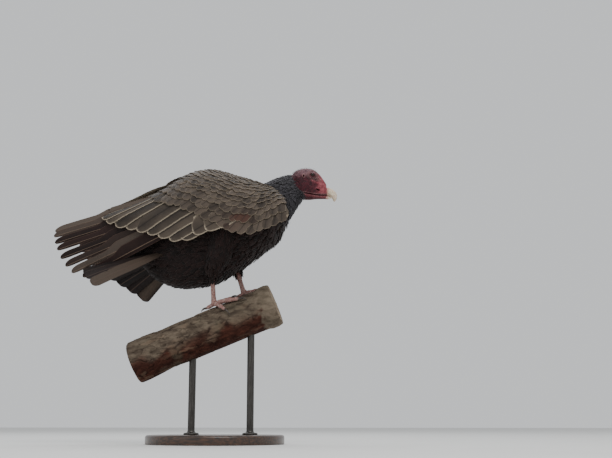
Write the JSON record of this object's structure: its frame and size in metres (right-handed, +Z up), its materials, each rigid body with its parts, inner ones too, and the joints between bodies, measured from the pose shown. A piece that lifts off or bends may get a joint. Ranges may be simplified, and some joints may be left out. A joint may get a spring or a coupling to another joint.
{
  "type": "life-size vulture model on a perch",
  "caption": "Life-size still model of a turkey vulture leaning forward on a sloping cut branch, wings folded and tail fanned, held up by rods on a flat round base.",
  "frame": {"origin": "centre of the underside of the round stand base, on the floor", "axes": "+X is the way the bird faces, +Z is up, so its right side is -Y"},
  "size_m": [0.5868, 0.27, 0.5525],
  "materials": {
    "body_feathers": "soft blackish brown feathers",
    "neck_feathers": "short slate grey feathers",
    "bare_skin": "wrinkled dull red bare skin",
    "bill_horn": "ivory horn, half gloss",
    "tail_vanes": "grey-brown tail feathers",
    "eye": "wet dark brown eye",
    "leg_skin": "scaly greyish pink skin",
    "claw_horn": "dark horn",
    "flight_vanes": "dark brown flight feathers",
    "wing_vanes": "grey-brown feathers with paler edges",
    "bark": "weathered pine bark",
    "stand_wood": "dark stained wood, satin",
    "stand_metal": "dark grey satin paint"
  },
  "bodies": {
    "root": {"trunk": "body_feathers", "neck": "neck_feathers", "head": "bare_skin", "bill_upper": "bill_horn", "bill_lower": "bill_horn", "tail_feathers": "tail_vanes", "eye_right": "eye", "thigh_right": "body_feathers", "tarsus_right": "leg_skin", "foot_right": "leg_skin", "claw_middle_right": "claw_horn", "claw_inner_right": "claw_horn", "claw_outer_right": "claw_horn", "claw_hind_right": "claw_horn", "wing_coverts_right": "wing_vanes", "wing_secondaries_right": "wing_vanes", "wing_primaries_right": "flight_vanes", "eye_left": "eye", "thigh_left": "body_feathers", "tarsus_left": "leg_skin", "foot_left": "leg_skin", "claw_middle_left": "claw_horn", "claw_inner_left": "claw_horn", "claw_outer_left": "claw_horn", "claw_hind_left": "claw_horn", "wing_coverts_left": "wing_vanes", "wing_secondaries_left": "wing_vanes", "wing_primaries_left": "flight_vanes", "perch": "bark", "stand_rod_front": "stand_metal", "stand_rod_rear": "stand_metal", "stand_base": "stand_wood"}
  },
  "joints": []
}
